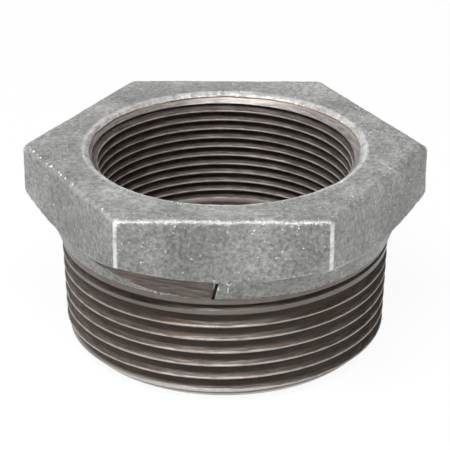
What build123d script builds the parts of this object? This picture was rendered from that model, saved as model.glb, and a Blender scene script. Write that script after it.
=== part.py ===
# Hex reducing bushing, 2 1/2 in male by 2 in female taper pipe thread, one casting.
# Millimetres. It stands on its threaded end: +Z goes up through the hex head, two corners lie on the X axis.
import os
from math import atan, degrees, radians, sqrt, tan

from build123d import *

# Head
across_flats = 77.0
corner_height = 11.35
corner_rounding = 1.6
top_bevel = 0.8
underside_angle = 26.3

# Collar between the hex and the thread, flared and left as cast above a short turned neck
neck_length = 1.6
collar_step = 0.5
collar_height = 4.4
collar_slope = 70.0

# Pipe thread form: 60 degree flanks on a 1 in 16 taper
taper_per_side = 1 / 32
flank_angle = 30.0

# Male thread, 8 to the inch
male_pitch = 3.175
male_end_radius = 35.81
male_depth = 2.5
male_length = 24.3
male_end_chamfer = 3.2
male_start_azimuth = 131.0
male_fade_turns = 0.5
male_plain_turns = 0.75  # bare barrel left above the fade

# Bore: reamed to the taper of an 11 1/2 to the inch female thread, straight below it
female_mouth_radius = 28.28
female_length = 27.5

# Mouth: countersunk, with an eased lip
lip_radius = 31.3
lip_drop = 1.0
countersink_radius = 30.15
countersink_depth = 1.6

# Mark on the front where the threading die bit into the collar and stopped
stop_azimuth = -93.0
stop_neck_depth = 0.15
stop_ledge_rise = 3.8
stop_ledge_slope = 31.0
stop_wall_slope = 81.0
stop_offset = 3.0

# Cutting allowances
overcut = 0.5
skim = 0.08
turns_per_sweep = 3

# Worked out from the sizes above
corner_radius = across_flats / sqrt(3)
clear_radius = 1.5 * corner_radius
neck_radius = male_end_radius + male_length * taper_per_side
underside_slope = tan(radians(underside_angle))
collar_foot = male_length + neck_length
collar_foot_radius = neck_radius + collar_step
collar_top = collar_foot + collar_height
collar_top_radius = collar_foot_radius + collar_height / tan(radians(collar_slope))
total_height = collar_top + (corner_radius - collar_top_radius) * underside_slope + corner_height
mouth_height = total_height - lip_drop
female_end_height = mouth_height - female_length
plain_bore_radius = female_mouth_radius - female_length * taper_per_side
end_radius = male_end_radius + male_end_chamfer * taper_per_side - male_end_chamfer
below = -2 * male_pitch
above = total_height + overcut


# Crest radius of the male thread at a height
def male_crest(height):
    return male_end_radius + height * taper_per_side


# Crest radius of the female thread at a height
def female_crest(height):
    return female_mouth_radius - (mouth_height - height) * taper_per_side


# A turned shape from points given as radius and height
def turned(points):
    return revolve(Plane.XZ * make_face(Polyline(*points, close=True)), Axis.Z)


# One run of V groove along a right hand helix, open on the side away from the axis
def groove_run(start_height, azimuth, turns, root_radius, slope):
    path = Helix(
        pitch=male_pitch,
        height=male_pitch * turns,
        radius=root_radius,
        center=(0, 0, start_height),
        cone_angle=degrees(atan(slope)),
    )
    half_mouth = (male_depth + skim) * tan(radians(flank_angle))
    section = Polyline(
        (0, 0),
        (male_depth + skim, -half_mouth),
        (male_depth + overcut, -half_mouth),
        (male_depth + overcut, half_mouth),
        (male_depth + skim, half_mouth),
        close=True,
    )
    start = Plane(origin=path @ 0, x_dir=(1, 0, 0), z_dir=path % 0)
    run = Solid.sweep((start * make_face(section)).faces()[0], path, is_frenet=True)
    return run.rotate(Axis.Z, azimuth)


# Hex head with rounded corners and an eased top edge, over a round collar
hex_bar = extrude(RegularPolygon(across_flats / 2, 6, major_radius=False), total_height - male_length)
hex_bar = hex_bar.move(Location((0, 0, male_length)))
hex_bar = fillet(hex_bar.edges().filter_by(Axis.Z), corner_rounding)
hex_bar = chamfer(hex_bar.faces().sort_by(Axis.Z)[-1].edges(), top_bevel)
underside = turned(
    [
        (0, male_length),
        (neck_radius, male_length),
        (collar_foot_radius, collar_foot),
        (collar_top_radius, collar_top),
        (clear_radius, collar_top + (clear_radius - collar_top_radius) * underside_slope),
        (clear_radius, above),
        (0, above),
    ]
)
head = hex_bar & underside

# Barrel, left long until its thread is cut
barrel = turned(
    [
        (0, below),
        (male_crest(below), below),
        (neck_radius, male_length),
        (0, male_length),
    ]
)
body = head + barrel

# Die mark: the die ran out of true with the casting, and cut one side of the collar only
stop_neck_radius = neck_radius + stop_neck_depth
stop_ledge_height = collar_foot + stop_ledge_rise
stop_ledge_radius = stop_neck_radius + (stop_ledge_height - male_length) / tan(radians(stop_wall_slope))
stop_far_height = stop_ledge_height + (clear_radius - stop_ledge_radius) * tan(radians(stop_ledge_slope))
die_face = turned(
    [
        (stop_neck_radius + stop_offset, male_length),
        (stop_ledge_radius + stop_offset, stop_ledge_height),
        (clear_radius + stop_offset, stop_far_height),
        (clear_radius + stop_offset, male_length),
    ]
)
die_face = die_face.move(Location((0, stop_offset, 0)))
uncut_size = 4 * clear_radius
uncut_side = Box(uncut_size, uncut_size, uncut_size, align=(Align.CENTER, Align.MIN, Align.CENTER))
uncut_side = uncut_side.rotate(Axis.Z, stop_azimuth)
body = body - (die_face - uncut_side)

# Male thread, faded out under the head
male_full_end = male_length - male_pitch * (male_fade_turns + male_plain_turns)
height = -male_pitch
while height < male_full_end:
    turns = min(turns_per_sweep, (male_full_end - height) / male_pitch)
    azimuth = male_start_azimuth + 360 * (height + male_pitch) / male_pitch
    body = body - groove_run(height, azimuth, turns, male_crest(height) - male_depth, taper_per_side)
    height += turns * male_pitch
azimuth = male_start_azimuth + 360 * (male_full_end + male_pitch) / male_pitch
fade_slope = (male_depth + overcut / 2) / (male_pitch * male_fade_turns)
fade_root = male_crest(male_full_end) - male_depth
body = body - groove_run(male_full_end, azimuth, male_fade_turns, fade_root, fade_slope)

# Face and chamfer the threaded end
end_waste = turned(
    [
        (0, below - overcut),
        (clear_radius, below - overcut),
        (clear_radius, clear_radius - end_radius),
        (end_radius, 0),
        (0, 0),
    ]
)
body = body - end_waste

# Bore: straight at the foot, reamed to a taper above, countersunk, with an eased lip
bore = turned(
    [
        (0, -overcut),
        (plain_bore_radius, -overcut),
        (plain_bore_radius, female_end_height),
        (female_crest(mouth_height - countersink_depth), mouth_height - countersink_depth),
        (countersink_radius, mouth_height),
        (lip_radius, total_height),
        (lip_radius, above),
        (0, above),
    ]
)
hex_bushing = body - bore

os.makedirs("parts", exist_ok=True)
export_step(hex_bushing, "parts/hex_bushing.step")
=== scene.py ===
import math
import random

import bpy
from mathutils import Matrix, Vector


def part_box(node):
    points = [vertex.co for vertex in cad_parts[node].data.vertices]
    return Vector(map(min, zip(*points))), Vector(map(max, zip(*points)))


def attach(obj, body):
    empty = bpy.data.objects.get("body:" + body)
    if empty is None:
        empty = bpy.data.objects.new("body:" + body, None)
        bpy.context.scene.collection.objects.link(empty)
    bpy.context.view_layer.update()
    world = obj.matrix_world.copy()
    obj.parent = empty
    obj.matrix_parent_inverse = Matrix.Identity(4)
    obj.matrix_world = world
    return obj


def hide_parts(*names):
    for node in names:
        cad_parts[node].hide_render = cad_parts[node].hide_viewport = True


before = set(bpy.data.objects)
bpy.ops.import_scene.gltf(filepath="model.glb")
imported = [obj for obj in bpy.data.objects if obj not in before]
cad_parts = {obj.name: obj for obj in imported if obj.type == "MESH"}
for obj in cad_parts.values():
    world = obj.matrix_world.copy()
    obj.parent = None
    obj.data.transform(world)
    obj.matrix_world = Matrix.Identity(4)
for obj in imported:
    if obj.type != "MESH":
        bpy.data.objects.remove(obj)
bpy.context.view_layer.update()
solidLow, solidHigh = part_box("hex_bushing")
print("frame loaded")

mm = 0.001

# shared sizes, in millimetres
bushing = {
    "height": (solidHigh.z - solidLow.z) / mm,
    "acrossFlats": (solidHigh.y - solidLow.y) / mm,
    "endRadius": 35.81,
    "threadLength": 24.3,
    "neckRadius": 36.57,
    "collarFoot": (37.07, 25.9),
    "collarTop": (38.67, 30.3),
    "undersideAngle": 26.3,
    "endChamfer": 3.2,
    "lipDrop": 1.0,
    "mouthCrest": 28.28,
    "taper": 1 / 32,
    "flankAngle": 30,
    "steps": 180,
}
top = bushing["height"]
collarFootRadius, collarFoot = bushing["collarFoot"]
collarTopRadius, collarTop = bushing["collarTop"]
undersideSlope = math.tan(math.radians(bushing["undersideAngle"]))
neckRadius = bushing["neckRadius"]
mouthHeight = top - bushing["lipDrop"]
past = 1.0  # how far a cutting tool stands past a face


def deselectAll():
    if bpy.context.object and bpy.context.object.mode != "OBJECT":
        bpy.ops.object.mode_set(mode="OBJECT")
    bpy.ops.object.select_all(action="DESELECT")


def makeActive(piece):
    deselectAll()
    piece.select_set(True)
    bpy.context.view_layer.objects.active = piece


# a chain of edges in the XZ plane through (radius, height) points
def drawProfile(name, points, closed=False):
    deselectAll()
    bpy.ops.mesh.primitive_plane_add(size=mm, location=(0, 0, 0))
    piece = bpy.context.object
    piece.name = name
    bpy.ops.object.mode_set(mode="EDIT")
    bpy.ops.mesh.select_mode(type="VERT")
    bpy.ops.mesh.select_all(action="SELECT")
    bpy.ops.mesh.merge(type="CENTER")
    last = Vector((0, 0, 0))
    for count, (radius, height) in enumerate(points):
        here = Vector((radius * mm, 0, height * mm))
        if count == 0:
            bpy.ops.transform.translate(value=here)
        else:
            bpy.ops.mesh.extrude_region_move(TRANSFORM_OT_translate={"value": here - last})
        last = here
    bpy.ops.object.mode_set(mode="OBJECT")
    if closed:
        ends = [Vector((points[end][0] * mm, 0, points[end][1] * mm)) for end in (0, -1)]
        for vertex in piece.data.vertices:
            vertex.select = min((vertex.co - end).length for end in ends) < 0.001 * mm
        bpy.ops.object.mode_set(mode="EDIT")
        bpy.ops.mesh.edge_face_add()
        bpy.ops.object.mode_set(mode="OBJECT")
    return piece


def applyModifier(piece, kind, **values):
    makeActive(piece)
    modifier = piece.modifiers.new(kind.title(), kind)
    for key, value in values.items():
        setattr(modifier, key, value)
    bpy.ops.object.modifier_apply(modifier=modifier.name)


def tidyMesh(piece, gap=0.0005 * mm):
    makeActive(piece)
    bpy.ops.object.mode_set(mode="EDIT")
    bpy.ops.mesh.select_all(action="SELECT")
    bpy.ops.mesh.remove_doubles(threshold=gap)
    bpy.ops.mesh.normals_make_consistent(inside=False)
    bpy.ops.object.mode_set(mode="OBJECT")


# a turned shape: the profile starts and ends on the axis, or is closed for a ring
def turn(name, points, finish, closed=False):
    piece = drawProfile(name, points, closed)
    applyModifier(piece, "SCREW", angle=math.tau, steps=bushing["steps"], render_steps=bushing["steps"],
                  screw_offset=0, use_merge_vertices=True, merge_threshold=0.001 * mm)
    tidyMesh(piece)
    piece.data.materials.append(finish)
    return piece


# cuts the tool away from the piece, or joins or crosses the two, and deletes the tool
def combine(piece, tool, operation="DIFFERENCE"):
    applyModifier(piece, "BOOLEAN", operation=operation, object=tool, solver="EXACT",
                  material_mode="TRANSFER")
    bpy.data.objects.remove(tool)


# a closed V groove cutter wound up a right hand taper helix, fading out over its last turn
def grooveCutter(name, thread, finish):
    side = 1 if thread["opensOutwards"] else -1
    depth = thread["depth"]
    tip = thread["rootFlat"] / 2
    mouth = tip + (depth + thread["skim"]) * math.tan(math.radians(bushing["flankAngle"]))
    reach = side * (depth + thread["skim"])
    past = side * (depth + thread["past"])
    points = [(0, -tip), (reach, -mouth), (past, -mouth), (past, mouth), (reach, mouth), (0, tip)]
    root = thread["rootRadius"]
    piece = drawProfile(name, [(root + radius, height) for radius, height in points], closed=True)
    steps = int(bushing["steps"] * thread["turns"])
    applyModifier(piece, "SCREW", angle=math.tau * thread["turns"], steps=steps, render_steps=steps,
                  screw_offset=thread["pitch"] * thread["turns"] * mm, use_merge_vertices=False)
    # both ends are closed with a face
    makeActive(piece)
    bpy.ops.object.mode_set(mode="EDIT")
    bpy.ops.mesh.select_all(action="DESELECT")
    bpy.ops.mesh.select_non_manifold(extend=False)
    bpy.ops.mesh.fill_holes(sides=0)
    bpy.ops.object.mode_set(mode="OBJECT")
    tidyMesh(piece)
    # each ring of points is brought to its radius and height
    ring = len(points)
    rotateBy = math.radians(thread["azimuth"])
    for vertex in piece.data.vertices:
        loop = vertex.index // ring
        turned = loop / steps * thread["turns"]
        radius = math.hypot(vertex.co.x, vertex.co.y) / mm
        lift = turned * thread["pitch"]
        height = thread["start"] + vertex.co.z / mm
        if thread["fadeAtTop"]:
            faded = max(0, turned - (thread["turns"] - thread["fade"])) / thread["fade"]
        else:
            faded = max(0, thread["fade"] - turned) / thread["fade"]
        radius += lift * bushing["taper"] + side * faded * (depth + thread["fadeClear"])
        angle = rotateBy + turned * math.tau
        vertex.co = (radius * math.cos(angle) * mm, radius * math.sin(angle) * mm, height * mm)
    piece.data.materials.append(finish)
    return piece


# a principled finish: returns its tree, shader and an object coordinate socket
def startFinish(name, metallic, roughness):
    finish = bpy.data.materials.new(name)
    finish.use_nodes = True
    tree = finish.node_tree
    shader = tree.nodes["Principled BSDF"]
    shader.inputs["Metallic"].default_value = metallic
    shader.inputs["Roughness"].default_value = roughness
    place = tree.nodes.new("ShaderNodeTexCoord").outputs["Object"]
    return finish, tree, shader, place


def addNode(tree, kind, inputs=None, **values):
    node = tree.nodes.new(kind)
    for key, value in values.items():
        setattr(node, key, value)
    for key, value in (inputs or {}).items():
        if isinstance(value, bpy.types.NodeSocket):
            tree.links.new(value, node.inputs[key])
        else:
            node.inputs[key].default_value = value
    return node


# noise with features of about so many millimetres
def noiseOf(tree, place, size, detail=3.0, rough=0.55):
    node = addNode(tree, "ShaderNodeTexNoise", {"Vector": place, "Scale": 1 / (size * mm),
                                                "Detail": detail, "Roughness": rough})
    return node.outputs["Fac"]


def rampOf(tree, factor, stops):
    node = addNode(tree, "ShaderNodeValToRGB", {"Fac": factor})
    ramp = node.color_ramp
    while len(ramp.elements) < len(stops):
        ramp.elements.new(0.5)
    for element, (position, colour) in zip(ramp.elements, stops):
        element.position = position
        element.color = (*colour, 1)
    return node.outputs["Color"]


def mixOf(tree, factor, first, second, blend="MIX"):
    node = addNode(tree, "ShaderNodeMix", data_type="RGBA", blend_type=blend)
    for socket, value in ((node.inputs[0], factor), (node.inputs[6], first), (node.inputs[7], second)):
        if isinstance(value, bpy.types.NodeSocket):
            tree.links.new(value, socket)
        elif isinstance(value, tuple):
            socket.default_value = (*value, 1)
        else:
            socket.default_value = value
    return node.outputs[2]


def mathOf(tree, operation, first, second=0.0, third=0.0):
    node = addNode(tree, "ShaderNodeMath", {0: first, 1: second, 2: third}, operation=operation)
    return node.outputs[0]


# brings a value from one range to another, and stops at both ends
def rangeOf(tree, value, fromRange, toRange=(0, 1)):
    node = addNode(tree, "ShaderNodeMapRange", {"Value": value, "From Min": fromRange[0],
                                                "From Max": fromRange[1], "To Min": toRange[0],
                                                "To Max": toRange[1]})
    return node.outputs[0]


def inMetres(sizes):
    return [size * mm for size in sizes]


def bumpOf(tree, height, depth, under=None):
    inputs = {"Height": height, "Distance": depth * mm, "Strength": 1.0}
    if under is not None:
        inputs["Normal"] = under
    return addNode(tree, "ShaderNodeBump", inputs).outputs["Normal"]


# coordinates that run round the axis, so that tool marks follow the lathe
def roundTheAxis(tree, place, stretch):
    split = addNode(tree, "ShaderNodeSeparateXYZ", {0: place})
    angle = mathOf(tree, "ARCTAN2", split.outputs["Y"], split.outputs["X"])
    squareX = mathOf(tree, "MULTIPLY", split.outputs["X"], split.outputs["X"])
    squareBoth = mathOf(tree, "MULTIPLY_ADD", split.outputs["Y"], split.outputs["Y"], squareX)
    radius = mathOf(tree, "SQRT", squareBoth)
    along = mathOf(tree, "MULTIPLY", angle, stretch * mm)
    joined = addNode(tree, "ShaderNodeCombineXYZ", {0: along, 1: radius, 2: split.outputs["Z"]})
    return joined.outputs[0], radius, split.outputs["Z"]


zinc = {
    "dark": (0.165, 0.167, 0.157),
    "mid": (0.262, 0.262, 0.250),
    "pale": (0.375, 0.372, 0.362),
    # colours of the painted highlights and of the painted shade in the pits
    "bright": (0.86, 0.86, 0.84),
    "pitShade": (0.10, 0.10, 0.095),
    "metallic": 0.55,
    "roughness": (0.36, 0.52),
    # noises: size in millimetres, detail and roughness
    "clouds": (13, 5, 0.62),
    "grain": (0.9, 4, 0.7),
    "grainTones": (0.62, 1.36),
    "patches": (2.2, 3, 0.6),
    "patchAmount": (0.2, 0.8),
    "waves": (2.6, 4, 0.6),
    # painted highlights on the corners: cosine of six times the angle, reach from the axis, depth below
    # the top
    "cornerCosine": (0.9965, 0.9993),
    "cornerReach": (42.9, 43.7),
    "cornerDepth": (0.2, 0.7),
    # painted highlight round the mouth's lip: reach from the axis and strength
    "lipReach": (31.9, 31.2),
    "lipHighlightAmount": 0.6,
    # painted highlights on lumps and painted shade in pits, by how sharply the surface turns
    "lumps": (0.515, 0.60),
    "lumpHighlightAmount": 0.85,
    "pits": (0.49, 0.44),
    "pitShadeAmount": 0.5,
    # painted glints: small bright specks, in patches
    "specks": 1.3,
    "speckPatches": (5, 3, 0.6),
    "speckSpread": -0.55,
    "speckEdge": (-0.08, -0.24),
    "speckHighlightAmount": 0.5,
    "waveDepth": 0.6,
    "grainDepth": 0.22,
    "speckDepth": 0.16,
}


def galvanisedFinish():
    finish, tree, shader, place = startFinish("galvanisedZinc", zinc["metallic"], zinc["roughness"][0])
    cloud = noiseOf(tree, place, *zinc["clouds"])
    colour = rampOf(tree, cloud, [(0.30, zinc["dark"]), (0.50, zinc["mid"]), (0.72, zinc["pale"])])
    grain = noiseOf(tree, place, *zinc["grain"])
    darkGrain, paleGrain = zinc["grainTones"]
    grainColour = rampOf(tree, grain, [(0.35, (darkGrain,) * 3), (0.65, (paleGrain,) * 3)])
    colour = mixOf(tree, 1.0, colour, grainColour, "MULTIPLY")
    # painted highlights down the corners and round the mouth's lip, stronger in some places than in others
    split = addNode(tree, "ShaderNodeSeparateXYZ", {0: place}).outputs
    around = mathOf(tree, "ARCTAN2", split["Y"], split["X"])
    sixfold = mathOf(tree, "COSINE", mathOf(tree, "MULTIPLY", around, 6.0))
    flatPlace = addNode(tree, "ShaderNodeCombineXYZ", {0: split["X"], 1: split["Y"]}).outputs[0]
    reach = addNode(tree, "ShaderNodeVectorMath", {0: flatPlace}, operation="LENGTH").outputs["Value"]
    patchy = rangeOf(tree, noiseOf(tree, place, *zinc["patches"]), (0.30, 0.60), zinc["patchAmount"])
    cornerHighlight = rangeOf(tree, sixfold, zinc["cornerCosine"])
    belowTop = inMetres([top - depth for depth in zinc["cornerDepth"]])
    for limit in (
        rangeOf(tree, reach, inMetres(zinc["cornerReach"])),
        patchy,
        rangeOf(tree, split["Z"], belowTop),
    ):
        cornerHighlight = mathOf(tree, "MULTIPLY", cornerHighlight, limit)
    colour = mixOf(tree, cornerHighlight, colour, zinc["bright"])
    lipHighlight = rangeOf(tree, reach, inMetres(zinc["lipReach"]), (0, zinc["lipHighlightAmount"]))
    colour = mixOf(tree, mathOf(tree, "MULTIPLY", lipHighlight, patchy), colour, zinc["bright"])
    # painted highlights on the tops of the lumps, and painted shade in the pits
    curved = tree.nodes.new("ShaderNodeNewGeometry").outputs["Pointiness"]
    colour = mixOf(tree, rangeOf(tree, curved, zinc["lumps"], (0, zinc["lumpHighlightAmount"])), colour,
                   zinc["bright"])
    colour = mixOf(tree, rangeOf(tree, curved, zinc["pits"], (0, zinc["pitShadeAmount"])), colour, zinc["pitShade"])
    # painted glints: small bright specks in patches, whose mask also raises bumps
    cells = addNode(tree, "ShaderNodeTexVoronoi", {"Vector": place, "Scale": 1 / (zinc["specks"] * mm)},
                    feature="F1")
    speckPatches = noiseOf(tree, place, *zinc["speckPatches"])
    near = mathOf(tree, "MULTIPLY_ADD", speckPatches, zinc["speckSpread"], cells.outputs["Distance"])
    speck = rangeOf(tree, near, zinc["speckEdge"])
    colour = mixOf(tree, mathOf(tree, "MULTIPLY", speck, zinc["speckHighlightAmount"]), colour, zinc["bright"])
    tree.links.new(colour, shader.inputs["Base Color"])
    tree.links.new(rangeOf(tree, cloud, (0.3, 0.7), zinc["roughness"]), shader.inputs["Roughness"])
    waves = bumpOf(tree, noiseOf(tree, place, *zinc["waves"]), zinc["waveDepth"])
    grains = bumpOf(tree, grain, zinc["grainDepth"], waves)
    tree.links.new(bumpOf(tree, speck, zinc["speckDepth"], grains), shader.inputs["Normal"])
    return finish


bareIron = {
    "dark": (0.055, 0.045, 0.038),
    "mid": (0.115, 0.096, 0.082),
    "pale": (0.20, 0.178, 0.162),
    "rust": (0.15, 0.085, 0.048),
    "crest": (0.52, 0.465, 0.435),
    # painted pale on the foot's chamfer, standing in for the floor's reflection
    "chamfer": (0.50, 0.485, 0.45),
    # painted fill light for the thread roots
    "fill": (0.30, 0.26, 0.235),
    "metallic": 0.6,
    # noises: size in millimetres, detail and roughness
    "marks": (0.5, 3, 0.6),
    "markStretch": 4.0,
    "blotches": (7, 4, 0.65),
    "wear": (3.0, 3, 0.6),
    "wearDepth": 0.5,
    # depths below a thread's crest, in millimetres
    "crestEdge": (0.02, -0.25),
    "rootEdge": (0.3, 1.5),
    "markDepth": 0.08,
}
ironTones = (bareIron["dark"], bareIron["mid"], bareIron["pale"])


# marks that the tool left, running round the axis, with patches of rust
def toolMarks(tree, place, stops, rustAmount):
    along, radius, height = roundTheAxis(tree, place, bareIron["markStretch"])
    marks = noiseOf(tree, along, *bareIron["marks"])
    colour = rampOf(tree, marks, [(0.3, stops[0]), (0.5, stops[1]), (0.72, stops[2])])
    blotch = noiseOf(tree, place, *bareIron["blotches"])
    rusty = rangeOf(tree, blotch, (0.52, 0.72), (0, rustAmount))
    return mixOf(tree, rusty, colour, bareIron["rust"]), marks, radius, height


def cutFinish(cut):
    finish, tree, shader, place = startFinish(cut["name"], bareIron["metallic"], cut["roughness"])
    colour, marks, radius, height = toolMarks(tree, place, cut["stops"], cut["rust"])
    if "lineColour" in cut:
        colour = mixOf(tree, rangeOf(tree, height, inMetres(cut["lineEdge"])), colour, cut["lineColour"])
    tree.links.new(colour, shader.inputs["Base Color"])
    tree.links.new(bumpOf(tree, marks, cut["markDepth"]), shader.inputs["Normal"])
    return finish


# thread flanks: painted fill light towards the root, a bright crest that is partly worn metal and partly a
# painted highlight, dull where the thread runs out
def threadFinish(thread):
    finish, tree, shader, place = startFinish(thread["name"], bareIron["metallic"], thread["roughness"])
    colour, marks, radius, height = toolMarks(tree, place, ironTones, thread["rust"])
    crest = mathOf(tree, "MULTIPLY_ADD", height, bushing["taper"], thread["crestAtFoot"] * mm)
    if thread["outside"]:
        below = mathOf(tree, "SUBTRACT", crest, radius)
    else:
        below = mathOf(tree, "SUBTRACT", radius, crest)
    worn = noiseOf(tree, place, *bareIron["wear"])
    below = mathOf(tree, "MULTIPLY_ADD", worn, -bareIron["wearDepth"] * mm, below)
    dull = rangeOf(tree, height, inMetres(thread["dullEdge"]))
    crestColour = mixOf(tree, dull, bareIron["crest"], thread["runOut"])
    # painted fill light towards the root, which would otherwise render black in shade
    paintedRootLight = rangeOf(tree, below, inMetres(bareIron["rootEdge"]), (0, thread["rootLightAmount"]))
    colour = mixOf(tree, paintedRootLight, colour, bareIron["fill"])
    # the bright crest is partly worn metal and partly a painted highlight
    bright = rangeOf(tree, below, inMetres(bareIron["crestEdge"]))
    colour = mixOf(tree, mathOf(tree, "MULTIPLY", bright, thread["crestShine"]), colour, crestColour)
    if thread["outside"]:
        # the chamfer at the foot is painted pale, a painted reflection of the floor
        chamferEdge = inMetres([bushing["endChamfer"] + 0.1, bushing["endChamfer"] - 0.5])
        colour = mixOf(tree, rangeOf(tree, height, chamferEdge), colour, bareIron["chamfer"])
    tree.links.new(colour, shader.inputs["Base Color"])
    tree.links.new(bumpOf(tree, marks, bareIron["markDepth"]), shader.inputs["Normal"])
    return finish


galvanised = galvanisedFinish()
outsideThread = threadFinish({
    "name": "outsideThread",
    "outside": True,
    "crestAtFoot": bushing["endRadius"],
    "rust": 0.7,
    "rootLightAmount": 0.55,
    "crestShine": 0.75,
    "roughness": 0.40,
    "dullEdge": (19.5, 21.5),
    "runOut": bareIron["pale"],
})
insideThread = threadFinish({
    "name": "insideThread",
    "outside": False,
    "crestAtFoot": bushing["mouthCrest"] - mouthHeight * bushing["taper"],
    "rust": 0.35,
    "rootLightAmount": 0.15,
    "crestShine": 0.9,
    "roughness": 0.36,
    "dullEdge": (19.0, 17.5),
    "runOut": bareIron["dark"],
})
# painted shade for the notch's faces, standing in for the shadow in the undercut
paintedNotchShade = cutFinish({
    "name": "notchShadow",
    "stops": (bareIron["dark"], bareIron["dark"], bareIron["mid"]),
    "rust": 0.1,
    "roughness": 0.6,
    "markDepth": 0.03,
})
turnedIron = cutFinish({
    "name": "turnedBand",
    "stops": ironTones,
    "rust": 0.6,
    "roughness": 0.42,
    "markDepth": 0.06,
})
mouthIron = cutFinish({
    "name": "mouthCone",
    "stops": ((0.16, 0.15, 0.14), (0.30, 0.28, 0.27), (0.5, 0.48, 0.46)),
    "rust": 0.1,
    "roughness": 0.35,
    "markDepth": 0.02,
    "lineEdge": (mouthHeight - 0.5, mouthHeight),
    "lineColour": (0.42, 0.33, 0.26),
})
print("finishes made")


head = {
    "cornerRounding": 1.6,
    "topRounding": 1.1,
    "draft": 0.6,
    "lipRadius": 31.3,
    "mouthRadius": 30.15,
    "lipSteps": 5,
    "footOverlap": 0.4,
    "clear": 6,
    "voxel": 0.5,
    # texture name, size of its lumps, strength and middle level
    "waves": [("castWaves", 7.0, 0.26, 0.35), ("castLumps", 1.8, 0.16, 0.35)],
}
cornerRadius = (bushing["acrossFlats"] + head["draft"]) / math.sqrt(3)
headBottom = collarFoot - head["footOverlap"]
hexTurn = math.radians(30)
deselectAll()
bpy.ops.mesh.primitive_cylinder_add(vertices=6, radius=cornerRadius * mm, depth=(top - headBottom) * mm,
                                    location=(0, 0, (top + headBottom) / 2 * mm), rotation=(0, 0, hexTurn))
castHead = bpy.context.object
castHead.name = "bushing"
bpy.ops.object.transform_apply(location=True, rotation=True, scale=True)
castHead.data.materials.append(galvanised)


# selects edges whose ends and direction pass the test, ready for a bevel
def selectEdges(piece, test):
    makeActive(piece)
    bpy.ops.object.mode_set(mode="EDIT")
    bpy.ops.mesh.select_mode(type="EDGE")
    bpy.ops.mesh.select_all(action="DESELECT")
    bpy.ops.object.mode_set(mode="OBJECT")
    points = piece.data.vertices
    for edge in piece.data.edges:
        edge.select = test(points[edge.vertices[0]].co, points[edge.vertices[1]].co)
    bpy.ops.object.mode_set(mode="EDIT")


selectEdges(castHead, lambda a, b: abs(a.z - b.z) > mm)
bpy.ops.mesh.bevel(offset=head["cornerRounding"] * math.tan(hexTurn) * mm, segments=5, affect="EDGES")
selectEdges(castHead, lambda a, b: min(a.z, b.z) > (top - 0.1) * mm)
bpy.ops.mesh.bevel(offset=head["topRounding"] * mm, segments=4, affect="EDGES")
bpy.ops.object.mode_set(mode="OBJECT")

farRadius = cornerRadius + head["clear"]
underside = turn("underside", [
    (0, headBottom - past),
    (collarFootRadius, headBottom - past),
    (collarFootRadius, collarFoot),
    (collarTopRadius, collarTop),
    (farRadius, collarTop + (farRadius - collarTopRadius) * undersideSlope),
    (farRadius, top + 2 * past),
    (0, top + 2 * past),
], galvanised)
combine(castHead, underside, "INTERSECT")

lip = head["lipRadius"] - head["mouthRadius"]
lipArc = []
for step in range(head["lipSteps"] + 1):
    turnBy = math.radians(90 * step / head["lipSteps"])
    lipArc.append((head["lipRadius"] - lip * math.cos(turnBy),
                   top - bushing["lipDrop"] * (1 - math.sin(turnBy))))
mouthOpening = turn("mouthOpening", [
    (0, mouthHeight),
    *lipArc,
    (head["lipRadius"], top + past),
    (0, top + past),
], galvanised)
combine(castHead, mouthOpening)
print("head shaped")

# the sand mould's unevenness: an even fine mesh, then soft displacement
applyModifier(castHead, "REMESH", mode="VOXEL", voxel_size=head["voxel"] * mm)
applyModifier(castHead, "SMOOTH", factor=0.5, iterations=2)
for name, size, depth, level in head["waves"]:
    pattern = bpy.data.textures.new(name, "CLOUDS")
    pattern.noise_scale = size * mm
    applyModifier(castHead, "DISPLACE", texture=pattern, texture_coords="LOCAL",
                  strength=depth * mm, mid_level=level)
print("head cast", len(castHead.data.polygons), "faces")


barrel = {
    # a plug above the collar's foot, which ties the barrel to the head
    "plugStraight": 0.5,
    "plugTop": 3.0,
    "plugLean": 1.5,
    "bandReach": 5.0,
    "bandSkim": 0.05,
    "bandLift": 0.1,
    "stopAzimuth": -93.0,
    "stopWall": (36.72, 37.58),
    "stopLedge": 29.7,
    "stopLedgeSlope": 31.0,
    "stopOffset": 3.0,
    "blockReach": 90,
    # the notch: outwards, sideways, past the foot and the ledge, and how it leans
    "notchOut": (36.3, 45),
    "notchSide": (-0.55, 0.15),
    "notchPast": (0.4, 0.5),
    "notchLean": 0.22,
}
chamferTop = bushing["endChamfer"]
chamferRadius = bushing["endRadius"] + chamferTop * bushing["taper"]
blank = turn("barrelBlank", [
    (0, 0),
    (chamferRadius - chamferTop, 0),
    (chamferRadius, chamferTop),
    (neckRadius, bushing["threadLength"]),
    (neckRadius, collarFoot + barrel["plugStraight"]),
    (neckRadius - barrel["plugLean"], collarFoot + barrel["plugTop"]),
    (0, collarFoot + barrel["plugTop"]),
], outsideThread)
combine(castHead, blank, "UNION")

# a short turned neck under the cast collar
bandReach = collarFootRadius + barrel["bandReach"]
neckBand = turn("neckBand", [
    (neckRadius, bushing["threadLength"]),
    (collarFootRadius + barrel["bandSkim"], collarFoot),
    (bandReach, collarFoot + barrel["bandLift"]),
    (bandReach, bushing["threadLength"]),
], turnedIron, closed=True)
combine(castHead, neckBand)

# the die ran out of true and bit into one side of the collar, then stopped
wallFoot, wallTop = barrel["stopWall"]
ledge = barrel["stopLedge"]
offset = barrel["stopOffset"]
ledgeRise = (farRadius - wallTop) * math.tan(math.radians(barrel["stopLedgeSlope"]))
dieFace = turn("dieFace", [
    (wallFoot + offset, bushing["threadLength"]),
    (wallTop + offset, ledge),
    (farRadius + offset, ledge + ledgeRise),
    (farRadius + offset, bushing["threadLength"]),
], turnedIron, closed=True)
for vertex in dieFace.data.vertices:
    vertex.co.y += offset * mm
stopTurn = math.radians(barrel["stopAzimuth"])


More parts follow.
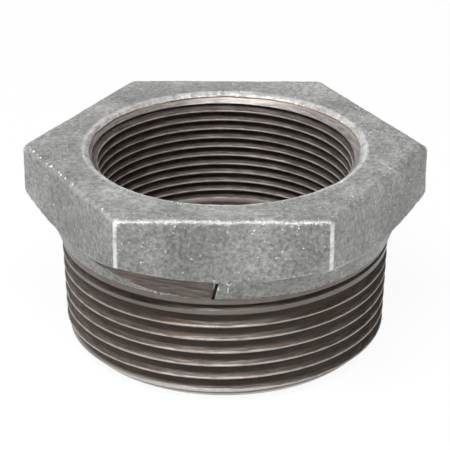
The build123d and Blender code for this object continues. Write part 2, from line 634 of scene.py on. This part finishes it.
# a block in the frame of the stop: outwards along it, sideways from it, and upwards
def stopBlock(name, outwards, sideways, upwards, lean, finish):
    deselectAll()
    bpy.ops.mesh.primitive_cube_add(size=1, location=(0, 0, 0))
    block = bpy.context.object
    block.name = name
    for vertex in block.data.vertices:
        out, side, up = (low + (part + 0.5) * (high - low)
                         for part, (low, high) in zip(vertex.co, (outwards, sideways, upwards)))
        side += (up - collarFoot) * lean
        vertex.co = ((out * math.cos(stopTurn) - side * math.sin(stopTurn)) * mm,
                     (out * math.sin(stopTurn) + side * math.cos(stopTurn)) * mm, up * mm)
    block.data.materials.append(finish)
    return block


wide = barrel["blockReach"]
combine(dieFace, stopBlock("uncutSide", (-wide, wide), (0, wide), (-wide, wide), 0, turnedIron))
combine(castHead, dieFace)
# the notch's faces take the painted shade finish
pastFoot, pastLedge = barrel["notchPast"]
combine(castHead, stopBlock("stopNotch", barrel["notchOut"], barrel["notchSide"],
                            (collarFoot - pastFoot, ledge + pastLedge), barrel["notchLean"], paintedNotchShade))
print("barrel joined")


maleThread = {
    "opensOutwards": True,
    "pitch": 3.175,
    "depth": 2.45,
    "rootFlat": 0.1,
    "skim": 0.08,
    "past": 0.6,
    "azimuth": 131.0,
    "runsTo": 25.4,
    "fade": 1.2,
    "fadeClear": 0.15,
    "fadeAtTop": True,
}
maleThread["start"] = -maleThread["pitch"]
maleThread["turns"] = (maleThread["runsTo"] - maleThread["start"]) / maleThread["pitch"]
maleThread["rootRadius"] = (bushing["endRadius"] - maleThread["depth"]
                            + maleThread["start"] * bushing["taper"])
combine(castHead, grooveCutter("maleCutter", maleThread, outsideThread))
print("male thread cut")


bore = {
    "threadLength": 27.5,
    "countersink": 1.6,
    "plainRadius": 27.42,
    "footChamfer": 0.6,
    "mouthFlare": 0.1,
    "mouthPast": 0.3,
    "sinkSkim": 0.05,
    "sinkFlare": 0.1,
    "sinkPast": 0.35,
}
crestAtSink = bushing["mouthCrest"] - bore["countersink"] * bushing["taper"]
wayThrough = turn("wayThrough", [
    (0, -past),
    (bore["plainRadius"] + bore["footChamfer"], -past),
    (bore["plainRadius"] + bore["footChamfer"], 0),
    (bore["plainRadius"], bore["footChamfer"]),
    (bore["plainRadius"], mouthHeight - bore["threadLength"]),
    (crestAtSink, mouthHeight - bore["countersink"]),
    (crestAtSink + bore["mouthFlare"], mouthHeight + bore["mouthPast"]),
    (0, mouthHeight + bore["mouthPast"]),
], insideThread)
combine(castHead, wayThrough)
femaleThread = {
    "opensOutwards": False,
    "pitch": 25.4 / 11.5,
    "depth": 1.7,
    "rootFlat": 0.1,
    "skim": 0.06,
    "past": 0.6,
    "azimuth": 40.0,
    "firstTurn": 0.6,
    "fade": 0.9,
    "fadeClear": 0.15,
    "fadeAtTop": False,
}
threadFoot = mouthHeight - bore["threadLength"]
femaleThread["start"] = threadFoot + femaleThread["pitch"] * femaleThread["firstTurn"]
femaleThread["turns"] = (mouthHeight + past - femaleThread["start"]) / femaleThread["pitch"]
femaleThread["rootRadius"] = (bushing["mouthCrest"] + femaleThread["depth"]
                              - (mouthHeight - femaleThread["start"]) * bushing["taper"])
combine(castHead, grooveCutter("femaleCutter", femaleThread, insideThread))
sinkRadius = head["mouthRadius"] + bore["sinkSkim"]
countersink = turn("countersink", [
    (0, mouthHeight - bore["countersink"]),
    (crestAtSink, mouthHeight - bore["countersink"]),
    (sinkRadius, mouthHeight),
    (sinkRadius + bore["sinkFlare"], mouthHeight + bore["sinkPast"]),
    (0, mouthHeight + bore["sinkPast"]),
], mouthIron)
combine(castHead, countersink)
print("bore cut", len(castHead.data.polygons), "faces")

makeActive(castHead)
bpy.ops.object.shade_smooth_by_angle(angle=math.radians(32))
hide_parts("hex_bushing")
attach(castHead, "root")


zincBeads = {
    # rows along the hex's edges: azimuth, distance and height of the face, and the spreads
    "rows": [
        {"count": 34, "azimuth": -150, "distance": 38.2, "height": -0.6, "across": (-19, 20),
         "rise": 0.6, "size": (0.18, 0.42)},
        {"count": 30, "azimuth": -90, "distance": 38.72, "height": -5.5, "across": (-18, 20),
         "rise": 4.5, "size": (0.12, 0.30)},
        {"count": 16, "azimuth": -30, "distance": 38.72, "height": -5.0, "across": (-15, 19),
         "rise": 4.5, "size": (0.12, 0.30)},
        {"count": 14, "azimuth": -150, "distance": 38.72, "height": -6.0, "across": (-18, 18),
         "rise": 4.0, "size": (0.12, 0.28)},
    ],
    "widths": (0.6, 1.2),
    "heights": (0.6, 1.3),
    "lipCount": 26,
    "lipRadius": 31.5,
    "lipSize": (0.15, 0.32),
    "lipFlattening": 0.5,
    "seed": 11,
    "colour": (0.62, 0.62, 0.61),
    "metallic": 0.7,
    "roughness": 0.3,
}
beadZinc, _, beadShader, _ = startFinish("beadZinc", zincBeads["metallic"], zincBeads["roughness"])
beadShader.inputs["Base Color"].default_value = (*zincBeads["colour"], 1)
chance = random.Random(zincBeads["seed"])
beadPieces = []


def addBead(place, size, turnTo=None):
    deselectAll()
    bpy.ops.mesh.primitive_ico_sphere_add(subdivisions=2, radius=1, location=inMetres(place))
    bead = bpy.context.object
    bead.scale = inMetres(size)
    if turnTo:
        bead.rotation_euler = turnTo
    beadPieces.append(bead)


for row in zincBeads["rows"]:
    face = math.radians(row["azimuth"])
    outwards = Vector((math.cos(face), math.sin(face), 0))
    sideways = Vector((-math.sin(face), math.cos(face), 0))
    for _ in range(row["count"]):
        across = chance.uniform(*row["across"])
        size = chance.uniform(*row["size"])
        height = top + row["height"] + chance.uniform(-1, 1) * row["rise"]
        width = size * chance.uniform(*zincBeads["widths"])
        tall = size * chance.uniform(*zincBeads["heights"])
        place = outwards * row["distance"] + sideways * across + Vector((0, 0, height))
        addBead(place, (size, width, tall))
for _ in range(zincBeads["lipCount"]):
    around = chance.uniform(0, math.tau)
    size = chance.uniform(*zincBeads["lipSize"])
    lipPlace = Vector((math.cos(around), math.sin(around), 0)) * zincBeads["lipRadius"]
    addBead(lipPlace + Vector((0, 0, top)), (size, size, size * zincBeads["lipFlattening"]))

# a forked sliver of bright metal standing on the collar, as (sideways, height) points
burr = {
    "slivers": [((0.9, 27.6), (1.1, 29.6)), ((1.1, 29.5), (0.4, 31.0)), ((1.1, 29.5), (2.0, 30.7))],
    "face": 38.0,
    "faceHeight": 29,
    "faceSlope": 0.25,
    "thickness": (0.22, 0.45),
    "stretch": 0.58,
}
for start, end in burr["slivers"]:
    sideways, height = ((a + b) / 2 for a, b in zip(start, end))
    length = math.dist(start, end)
    lean = math.atan2(end[0] - start[0], end[1] - start[1])
    outwards = burr["face"] + (height - burr["faceHeight"]) * burr["faceSlope"]
    addBead((sideways, -outwards, height), (*burr["thickness"], length * burr["stretch"]), (0, lean, 0))

deselectAll()
for bead in beadPieces:
    bead.select_set(True)
bpy.context.view_layer.objects.active = beadPieces[0]
bpy.ops.object.join()
beads = bpy.context.object
beads.name = "zincBeads"
bpy.ops.object.transform_apply(location=True, rotation=True, scale=True)
bpy.ops.object.shade_smooth()
beads.data.materials.append(beadZinc)
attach(beads, "root")
print("beads placed")


studio = {
    "floor": (0.72, 0.72, 0.72),
    "whiteness": 0.93,
    "worldStrength": 0.8,
    "leftSky": (0.66, 0.66, 0.67),
    "rightSky": (0.08, 0.08, 0.08),
    "skyTurn": (-0.6, 0.7),
    "floorSize": 8,
    "lamps": [
        {"name": "topLight", "azimuth": -106, "elevation": 64, "distance": 0.7,
         "size": (0.55, 0.22), "power": 6.9},
        {"name": "leftLight", "azimuth": -158, "elevation": 18, "distance": 0.7,
         "size": (0.16, 0.45), "power": 0.6},
        {"name": "backLight", "azimuth": 90, "elevation": 27, "distance": 0.8,
         "size": (0.30, 0.16), "power": 0.75},
        {"name": "rightLight", "azimuth": -24, "elevation": 18, "distance": 0.7,
         "size": (0.12, 0.45), "power": 0.65},
    ],
}
deselectAll()
bpy.ops.mesh.primitive_plane_add(size=studio["floorSize"], location=(0, 0, solidLow.z))
floor = bpy.context.object
floor.name = "floor"


# seen or mirrored it is nearly white, and it keeps a soft part of the shadow
def floorFinish():
    finish = bpy.data.materials.new("paleFloor")
    finish.use_nodes = True
    tree = finish.node_tree
    shader = tree.nodes["Principled BSDF"]
    shader.inputs["Base Color"].default_value = (*studio["floor"], 1)
    shader.inputs["Roughness"].default_value = 0.9
    rays = tree.nodes.new("ShaderNodeLightPath").outputs
    seen = mathOf(tree, "MAXIMUM", rays["Is Camera Ray"], rays["Is Glossy Ray"])
    seen = mathOf(tree, "MAXIMUM", seen, rays["Is Transmission Ray"])
    seen = mathOf(tree, "MULTIPLY", seen, studio["whiteness"])
    white = addNode(tree, "ShaderNodeEmission", {"Color": (1, 1, 1, 1), "Strength": 1.0})
    both = addNode(tree, "ShaderNodeMixShader", {0: seen, 1: shader.outputs[0], 2: white.outputs[0]})
    tree.links.new(both.outputs[0], tree.nodes["Material Output"].inputs["Surface"])
    return finish


floor.data.materials.append(floorFinish())

world = bpy.data.worlds.new("studio")
bpy.context.scene.world = world
world.use_nodes = True
worldTree = world.node_tree
sky = worldTree.nodes["Background"]
toward = worldTree.nodes.new("ShaderNodeTexCoord").outputs["Generated"]
leftToRight = addNode(worldTree, "ShaderNodeSeparateXYZ", {0: toward}).outputs["X"]
skyFactor = rangeOf(worldTree, leftToRight, studio["skyTurn"])
skyColour = rampOf(worldTree, skyFactor, [(0, studio["leftSky"]), (1, studio["rightSky"])])
worldTree.links.new(skyColour, sky.inputs["Color"])
sky.inputs["Strength"].default_value = studio["worldStrength"]

for lamp in studio["lamps"]:
    azimuth = math.radians(lamp["azimuth"])
    elevation = math.radians(lamp["elevation"])
    aim = Vector((0, 0, top / 2 * mm))
    place = aim + lamp["distance"] * Vector((math.cos(elevation) * math.cos(azimuth),
                                             math.cos(elevation) * math.sin(azimuth), math.sin(elevation)))
    deselectAll()
    bpy.ops.object.light_add(type="AREA", location=place)
    softbox = bpy.context.object
    softbox.name = lamp["name"]
    softbox.data.shape = "RECTANGLE"
    softbox.data.size, softbox.data.size_y = lamp["size"]
    softbox.data.energy = lamp["power"]
    softbox.rotation_euler = (aim - place).to_track_quat("-Z", "Y").to_euler()

# the camera stands this far from the top face's middle, in millimetres and degrees
view = {
    "distance": 446.9,
    "elevation": 23.58,
    "pitch": 25.84,
    "turn": 0.52,
    "focalPixels": 2025,
    "framePixels": 450,
    "sensorWidth": 36,
}
cameraData = bpy.data.cameras.new("camera")
cameraData.sensor_width = view["sensorWidth"]
cameraData.lens = view["focalPixels"] / view["framePixels"] * view["sensorWidth"]
cameraData.clip_end = 20
camera = bpy.data.objects.new("camera", cameraData)
bpy.context.scene.collection.objects.link(camera)
back = view["distance"] * math.cos(math.radians(view["elevation"]))
up = view["distance"] * math.sin(math.radians(view["elevation"]))
turnBy = math.radians(view["turn"])
camera.location = (back * math.sin(turnBy) * mm, -back * math.cos(turnBy) * mm, (top + up) * mm)
camera.rotation_euler = (math.radians(90 - view["pitch"]), 0, turnBy)
bpy.context.scene.camera = camera
bpy.context.scene.view_settings.view_transform = "Standard"
print("studio set")
